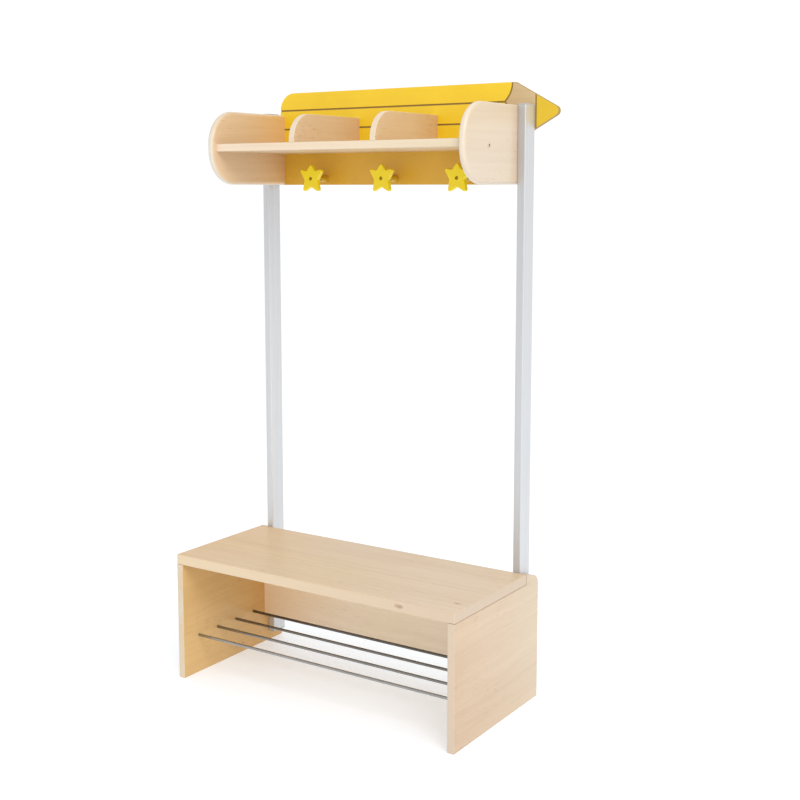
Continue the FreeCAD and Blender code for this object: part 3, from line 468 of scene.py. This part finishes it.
def anodised_post(name, front):
    """Satin anodised aluminium with fine drawn lines up the post.

    front is the share of silver on its front and rear faces, against a larger share on its sides:
    painted shade on the fronts and painted light on the sides."""
    material, tree, shader, place = new_material(name, ANODISED)
    line = use(tree, DRAWN_LINES, {"Vector": place})["Line"]
    smudge = use(tree, FINE_MOTTLE, {"Vector": place})["Smudge"]
    silver = blend(tree, ranged(tree, line, *POST_LINE_RANGE), *POST_SILVER)
    sideways = maths(tree, "ABSOLUTE", looks_along(tree, "X"))
    # painted light and shade: the silver is scaled by which way the face looks
    share = ranged(tree, sideways, *POST_FACE_RANGE, front, POST_SIDE_LIGHT)
    roughness = ranged(tree, smudge, 0.0, 1.0, *POST_ROUGHNESS)
    surface(tree, shader, times(tree, silver, share), roughness, line, POST_RELIEF)
    return material


def plated_steel(name, tones, rough, metallic):
    """Plated or blackened steel with faint smudges."""
    material, tree, shader, place = new_material(name, {"Metallic": metallic})
    mottle = use(tree, FINE_MOTTLE, {"Vector": place, "Peel Scale": STEEL_PEEL})
    roughness = ranged(tree, mottle["Smudge"], 0.0, 1.0, rough, rough + SMUDGE_ROUGHER)
    surface(tree, shader, blend(tree, mottle["Smudge"], *tones), roughness, mottle["Peel"],
            STEEL_RELIEF)
    return material


def moulded_plastic(name, tones, eye=None):
    """Matt moulded plastic with a fine spark-eroded texture.

    It is dark brown inside an eye, as painted shade in the sunk eye; the eye is given by the Y and
    Z of its centre and its radius."""
    material, tree, shader, place = new_material(name, PLASTIC)
    mottle = use(tree, FINE_MOTTLE, {"Vector": place, "Peel Scale": PLASTIC_PEEL})
    colour = blend(tree, mottle["Smudge"], *tones)
    if eye:
        split = parts(tree, place)
        colour = blend(tree, circle_mask(tree, split["Y"], split["Z"], *eye), colour, CAP_EYE_SHADE_BROWN)
    roughness = ranged(tree, mottle["Peel"], *PEEL_RANGE, *PLASTIC_ROUGHNESS)
    surface(tree, shader, colour, roughness, mottle["Peel"], PLASTIC_RELIEF)
    return material


def turned_beech():
    """Raw beech of the dowels."""
    material, tree, shader, place = new_material("turned_beech", {})
    figure = use(tree, WOOD_FIGURE, {"Vector": place, "Lines": BEECH_LINES})
    roughness = ranged(tree, figure["Tone"], 0.0, 1.0, *BEECH_ROUGHNESS)
    surface(tree, shader, blend(tree, figure["Tone"], *BEECH), roughness, figure["Height"],
            BEECH_RELIEF)
    return material


# Dressing of the CAD pieces: a knot is its centre and its reach, in metres

ENDS, SIDES = ("left", "right"), ("left", "middle", "right")

seat_low, seat_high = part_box("seat_board")
SEAT_KNOTS = [((seat_low.x + 0.649, seat_low.y, seat_high.z - 0.011), 0.009),
              ((seat_low.x + 0.762, seat_low.y + 0.058, seat_high.z), 0.0075)]
SIDE_KNOTS = [((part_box("bench_side_left")[1].x, 0.0286, 0.0235), 0.005)]

BOARDS = {
    # seat: its veneer turns warmer towards its left
    "seat_board": dict(
        grain="X", thickness="Z", shift=(5.2, 0.5, 0.3), tones=PALE_MAPLE, edge=SEAT_EDGE,
        knots=SEAT_KNOTS, tint_run=("X", -0.05, -0.50, AMBER)),
    # left bench side: inner face in deeper, warmer tones than its outer face, and warmer towards
    # the rear: painted warm shade
    "bench_side_left": dict(
        grain="Y", thickness="X", shift=(0.31, 0.12, 0.05), tones=DEEP_MAPLE_SHADE, edge=LEFT_EDGE,
        far_tones=PALE_MAPLE, knots=SIDE_KNOTS, tint_run=("Y", -0.02, 0.14, AMBER)),
    # right bench side: its veneer darker and warmer towards the front: painted shade
    "bench_side_right": dict(
        grain="Y", thickness="X", shift=(1.17, 0.43, 0.22), tones=EVEN_MAPLE, edge=RIGHT_EDGE,
        tint_run=("Y", 0.17, -0.19, PEACH_SHADE)),
    # apron: its veneer turns warmer towards its left
    "bench_apron": dict(
        grain="X", thickness="Y", shift=(2.30, 0.21, 0.63), tones=CREAM_MAPLE, edge=APRON_EDGE,
        tint_run=("X", -0.12, -0.42, AMBER)),
    # left end panel: inner face in deeper tones than its outer face, and warmer towards the rear:
    # painted warm shade
    "end_panel_left": dict(
        grain="Y", thickness="X", shift=(3.10, 0.55, 0.17), tones=MELLOW_MAPLE_SHADE, edge=PALE_EDGE,
        far_tones=CLEAR_MAPLE, tint_run=("Y", 0.02, 0.17, AMBER)),
    # right end panel: darker and warmer on the strip beside its post: painted shade
    "end_panel_right": dict(
        grain="Y", thickness="X", shift=(4.27, 0.91, 0.38), tones=CLEAR_MAPLE, edge=RACK_EDGE,
        tint_run=("Y", 0.10, 0.135, PEACH_SHADE)),
    "shelf": dict(
        grain="X", thickness="Z", shift=(5.33, 0.37, 0.71), tones=PALE_MAPLE, edge=SHELF_EDGE),
    # dividers: darker and warmer towards the rear: painted shade
    "divider_left": dict(
        grain="Y", thickness="X", shift=(6.21, 0.13, 0.29), tones=MILD_MAPLE, edge=RACK_EDGE,
        tint_run=("Y", 0.07, 0.19, PEACH_SHADE)),
    "divider_right": dict(
        grain="Y", thickness="X", shift=(7.03, 0.67, 0.83), tones=WARM_MAPLE, edge=RACK_EDGE,
        tint_run=("Y", 0.07, 0.19, PEACH_SHADE)),
}


def dress(names, material):
    """Give CAD pieces a material."""
    for name in names:
        slots = nodes[name].data.materials
        slots.clear()
        slots.append(material)


for board, cut in BOARDS.items():
    dress([board], maple(f"maple_{board}", **cut))
dress(["hook_board"], yellow_board("yellow_hook_board", OCHRE_SHADE_YELLOW, False))
dress(["pencil_board"], yellow_board("yellow_pencil", PENCIL_YELLOW, True))
dress([f"star_hook_{side}" for side in SIDES], moulded_yellow("star_yellow", STAR_YELLOW))
dress([f"hook_peg_{side}" for side in SIDES], moulded_yellow("peg_ochre", PEG_SHADE_OCHRE))
for side, front in POST_FRONT_SHADES.items():
    dress([f"post_{side}"], anodised_post(f"anodised_post_{side}", front))
for number, greys in enumerate(ROD_SHADE_GREYS, 1):
    dress([f"shoe_rod_{number}"],
          plated_steel(f"rod_steel_{number}", greys, ROD_ROUGHNESS, ROD_METALLIC))
dress([f"{kind}_{side}" for kind in ("post_cap", "post_plug") for side in ENDS],
      moulded_plastic("grey_cap", CAP_GREY))
FIXING_STEEL = plated_steel("fixing_steel", FIXING_GREY, FIXING_ROUGHNESS, FIXING_METALLIC)
YELLOW_STEEL = plated_steel("yellow_passivated_steel", PASSIVATED_YELLOW, PASSIVATED_ROUGHNESS,
                            PASSIVATED_METALLIC)
dress(["post_bolts", "post_inserts", "shelf_screws", "board_screws"], FIXING_STEEL)
dress(["star_screws"], YELLOW_STEEL)
dress(["seat_dowels", "apron_dowels", "shelf_dowels", "divider_dowels"], turned_beech())


# Fasteners: each head is modelled once with its top at the origin, looking up, and then copied

FRONT, REAR, LEFT, RIGHT = (0, -1, 0), (0, 1, 0), (-1, 0, 0), (1, 0, 0)

# Sizes in metres
SCREW_INSET, RAIL_LAP, SCREW_HEAD = 0.022, 0.013, 0.003
STAR_SCREW_RADIUS, STAR_SCREW_EASING = 0.0045, 0.0012
BOARD_SCREW_RADIUS, BOARD_SCREW_EASING = 0.004, 0.0003
BOLT_HEIGHTS, BOLT_RADIUS, BOLT_HEAD, BOLT_EASING = (0.095, 0.225), 0.0055, 0.004, 0.0014
CAP_RADIUS, CAP_HEIGHT = 0.006, 0.0012
NEAR_TOP = -1e-6

# Shares of a head's radius or height
CROSS_REACH, CROSS_WIDTH, CROSS_DEPTH, CROSS_TAPER = 1.35, 0.36, 0.5, 0.55
SOCKET_WIDTH, SOCKET_DEPTH, SOCKET_TAPER = 1.05, 0.6, 0.96
CAP_EASING, CAP_EYE, CAP_EYE_RIM, CAP_EYE_DEPTH = 0.7, 0.55, 0.04, 0.75
TOOL_LOWER_END = 0.9

HEAD_CORNERS, EASING_STEPS, CROSS_CORNERS, SOCKET_CORNERS = 32, 4, 8, 6
SMOOTH_ANGLE = math.radians(35)


def deselect():
    bpy.ops.object.select_all(action="DESELECT")


def choose(piece, kind, test):
    """Edit mode on a piece with only the faces or edges selected whose middle passes a test."""
    bpy.ops.object.mode_set(mode="EDIT")
    bpy.ops.mesh.select_mode(type=kind)
    bpy.ops.mesh.select_all(action="DESELECT")
    bpy.ops.object.mode_set(mode="OBJECT")
    mesh = piece.data
    if kind == "FACE":
        for face in mesh.polygons:
            face.select = test(face.center)
    else:
        for edge in mesh.edges:
            start, end = (mesh.vertices[number].co for number in edge.vertices)
            edge.select = test((start + end) / 2)
    bpy.ops.object.mode_set(mode="EDIT")


def turned_head(name, radius, height, easing):
    """Round head with an eased top edge."""
    deselect()
    bpy.ops.mesh.primitive_cylinder_add(
        vertices=HEAD_CORNERS, radius=radius, depth=height, location=(0.0, 0.0, -height / 2))
    head = bpy.context.object
    head.name = head.data.name = name
    bpy.ops.object.transform_apply(location=True, rotation=True, scale=True)
    choose(head, "EDGE", lambda spot: spot.z > NEAR_TOP)
    bpy.ops.mesh.bevel(offset=easing, segments=EASING_STEPS, affect="EDGES")
    bpy.ops.object.mode_set(mode="OBJECT")
    return head


def recess_tool(corners, width, length, depth, taper):
    """Tool with a narrower lower end, half of it below the origin; width is X, length is Y."""
    deselect()
    bpy.ops.mesh.primitive_cylinder_add(vertices=corners, radius=0.5, depth=2 * depth)
    tool = bpy.context.object
    bpy.ops.transform.resize(value=(width, length, 1.0))
    bpy.ops.object.transform_apply(location=True, rotation=True, scale=True)
    choose(tool, "FACE", lambda spot: spot.z < -depth * TOOL_LOWER_END)
    bpy.ops.transform.resize(value=(taper, taper, 1.0))
    bpy.ops.object.mode_set(mode="OBJECT")
    return tool


def carve(head, tool):
    """Take a tool's shape out of a head."""
    cutting = head.modifiers.new("recess", "BOOLEAN")
    cutting.operation = "DIFFERENCE"
    cutting.solver = "EXACT"
    cutting.object = tool
    deselect()
    head.select_set(True)
    bpy.context.view_layer.objects.active = head
    bpy.ops.object.modifier_apply(modifier=cutting.name)
    bpy.data.meshes.remove(tool.data)


def cross_head(name, radius, height, easing):
    """Screw head with a cross recess."""
    head = turned_head(name, radius, height, easing)
    reach, width, depth = radius * CROSS_REACH, radius * CROSS_WIDTH, height * CROSS_DEPTH
    carve(head, recess_tool(CROSS_CORNERS, reach, width, depth, CROSS_TAPER))
    carve(head, recess_tool(CROSS_CORNERS, width, reach, depth, CROSS_TAPER))
    return head


def socket_head(name, radius, height, easing):
    """Bolt head with a six-sided socket."""
    head = turned_head(name, radius, height, easing)
    width, depth = radius * SOCKET_WIDTH, height * SOCKET_DEPTH
    carve(head, recess_tool(SOCKET_CORNERS, width, width, depth, SOCKET_TAPER))
    return head


def cover_cap(name, radius, height):
    """Low cap with an eased rim and a sunk eye in its middle."""
    cap = turned_head(name, radius, height, height * CAP_EASING)
    choose(cap, "FACE", lambda spot: spot.z > NEAR_TOP)
    bpy.ops.mesh.inset(thickness=radius * (1.0 - CAP_EYE), depth=0.0)
    bpy.ops.mesh.inset(thickness=radius * CAP_EYE_RIM, depth=-height * CAP_EYE_DEPTH)
    bpy.ops.object.mode_set(mode="OBJECT")
    return cap


def set_in_place(model, seats, material, node):
    """Copies of a model, each at a seat and looking its way, joined to stand for a CAD node."""
    copies = []
    for place, facing in seats:
        copy = model.copy()
        copy.data = model.data.copy()
        copy.location = place
        turn = Vector(AXES["Z"]).rotation_difference(Vector(facing))
        copy.rotation_euler = turn.to_euler()
        bpy.context.scene.collection.objects.link(copy)
        copies.append(copy)
    bpy.data.meshes.remove(model.data)
    deselect()
    for copy in copies:
        copy.select_set(True)
    group = copies[0]
    bpy.context.view_layer.objects.active = group
    bpy.ops.object.transform_apply(location=True, rotation=True, scale=True)
    bpy.ops.object.join()
    bpy.ops.object.shade_smooth_by_angle(angle=SMOOTH_ANGLE)
    group.name = group.data.name = f"{node}_heads"
    group.data.materials.append(material)
    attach(group, "root")
    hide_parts(node)


def middle(node):
    low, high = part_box(node)
    return (low + high) / 2


def star_screw_seats():
    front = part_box("star_screws")[0].y
    pegs = [middle(f"hook_peg_{side}") for side in SIDES]
    return [((peg.x, front, peg.z), FRONT) for peg in pegs]


def board_screw_seats():
    rail_low, rail_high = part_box("hook_board")
    ends = [middle(f"end_panel_{side}").x for side in ENDS]
    laps = [rail_low.x + RAIL_LAP / 2, rail_high.x - RAIL_LAP / 2]
    rail_heights = (rail_low.z + SCREW_INSET, rail_high.z - SCREW_INSET)
    pencil_low = PENCIL_LOW.z + SCREW_INSET
    pencil_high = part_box("end_panel_right")[1].z - SCREW_INSET
    pegs = [middle(f"hook_peg_{side}") for side in SIDES]
    places = [(x, z) for x in laps + ends for z in rail_heights]
    places += [(peg.x, peg.z) for peg in pegs]
    places += [(x, z) for x in ends + laps[1:] for z in (pencil_low, pencil_high)]
    places += [(middle(f"divider_{side}").x, pencil_low) for side in ENDS]
    return [((x, rail_high.y, z), REAR) for x, z in places]


def post_bolt_seats():
    seats = []
    for side, edge, facing in (("left", 1, RIGHT), ("right", 0, LEFT)):
        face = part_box(f"post_{side}")[edge].x + facing[0] * BOLT_HEAD
        depth = middle(f"post_{side}").y
        seats += [((face, depth, height), facing) for height in BOLT_HEIGHTS]
    return seats


def cap_seats():
    low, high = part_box("shelf_screw_caps")
    centre = middle("shelf_screw_caps")
    return [((low.x, centre.y, centre.z), LEFT), ((high.x, centre.y, centre.z), RIGHT)]


cap_middle = middle("shelf_screw_caps")
CREAM_CAP = moulded_plastic("cream_cap", CAP_CREAM,
                            (cap_middle.y, cap_middle.z, CAP_RADIUS * CAP_EYE))
set_in_place(cross_head("star_screw", STAR_SCREW_RADIUS, SCREW_HEAD, STAR_SCREW_EASING),
             star_screw_seats(), YELLOW_STEEL, "star_screws")
set_in_place(cross_head("board_screw", BOARD_SCREW_RADIUS, SCREW_HEAD, BOARD_SCREW_EASING),
             board_screw_seats(), FIXING_STEEL, "board_screws")
set_in_place(socket_head("post_bolt", BOLT_RADIUS, BOLT_HEAD, BOLT_EASING),
             post_bolt_seats(), FIXING_STEEL, "post_bolts")
set_in_place(cover_cap("cover_cap", CAP_RADIUS, CAP_HEIGHT),
             cap_seats(), CREAM_CAP, "shelf_screw_caps")


# Studio: floor, light and camera

WHITE = (1.0, 1.0, 1.0, 1)
FLOOR_SIZE, FLOOR_CLOUD = 60.0, 3.0
FLOOR_GREYS = ((0.677, 0.722, 0.775, 1), (0.687, 0.732, 0.785, 1))
FLOOR_GLOW = {"Roughness": 0.6, "Emission Color": WHITE, "Emission Strength": 0.4}

# Strength of the white surround as a light, and as the camera sees it
SURROUND_LIGHT, SURROUND_SEEN = 0.84, 1.05

# Lamps: place and target in metres, width in metres, power in watts, spread in degrees
LAMPS = {
    "key": ((3.0, -2.2, 3.8), (0.0, 0.0, 0.6), 2.6, 96.0, 180.0),
    "low_fill": ((0.5, -2.4, 0.35), (0.0, 0.1, 0.12), 0.8, 0.7, 60.0),
}

# The photo's camera: picture in pixels, sensor in millimetres, place in metres, turns in radians
PICTURE, SENSOR = 800, 36.0
FOCAL_PIXELS, HORIZON_RISE = 1265.09, -55.0
CAMERA_PLACE = (1.69063, -2.39668, 1.19793)
CAMERA_DIP, CAMERA_TURN = 0.1234, 0.5826


def new_floor():
    deselect()
    bpy.ops.mesh.primitive_plane_add(size=FLOOR_SIZE, location=ORIGIN)
    floor = bpy.context.object
    floor.name = "studio_floor"
    material, tree, shader, place = new_material("studio_floor", FLOOR_GLOW)
    feed(tree, shader["Base Color"], blend(tree, noise(tree, place, FLOOR_CLOUD), *FLOOR_GREYS))
    floor.data.materials.append(material)


def soft_lamp(name, place, target, width, power, spread):
    light = bpy.data.lights.new(name, "AREA")
    light.shape = "DISK"
    light.size = width
    light.energy = power
    light.spread = math.radians(spread)
    lamp = bpy.data.objects.new(name, light)
    lamp.location = place
    aim = Vector(target) - Vector(place)
    lamp.rotation_euler = aim.to_track_quat("-Z", "Y").to_euler()
    lamp.visible_camera = False
    bpy.context.scene.collection.objects.link(lamp)


def white_surround():
    world = bpy.data.worlds.new("studio")
    world.use_nodes = True
    tree = world.node_tree
    background = next(item for item in tree.nodes if item.type == "BACKGROUND").inputs
    background["Color"].default_value = WHITE
    seen = add(tree, "ShaderNodeLightPath").outputs["Is Camera Ray"]
    feed(tree, background["Strength"], ranged(tree, seen, 0.0, 1.0, SURROUND_LIGHT, SURROUND_SEEN))
    bpy.context.scene.world = world
    bpy.context.scene.view_settings.view_transform = "Standard"


def photo_camera():
    lens = bpy.data.cameras.new("photo")
    lens.sensor_width = SENSOR
    lens.lens = FOCAL_PIXELS / PICTURE * SENSOR
    lens.shift_y = HORIZON_RISE / PICTURE
    camera = bpy.data.objects.new("photo", lens)
    camera.location = CAMERA_PLACE
    camera.rotation_euler = (math.pi / 2 - CAMERA_DIP, 0.0, CAMERA_TURN)
    bpy.context.scene.collection.objects.link(camera)
    bpy.context.scene.camera = camera


new_floor()
white_surround()
for lamp_name, setting in LAMPS.items():
    soft_lamp(lamp_name, *setting)
photo_camera()
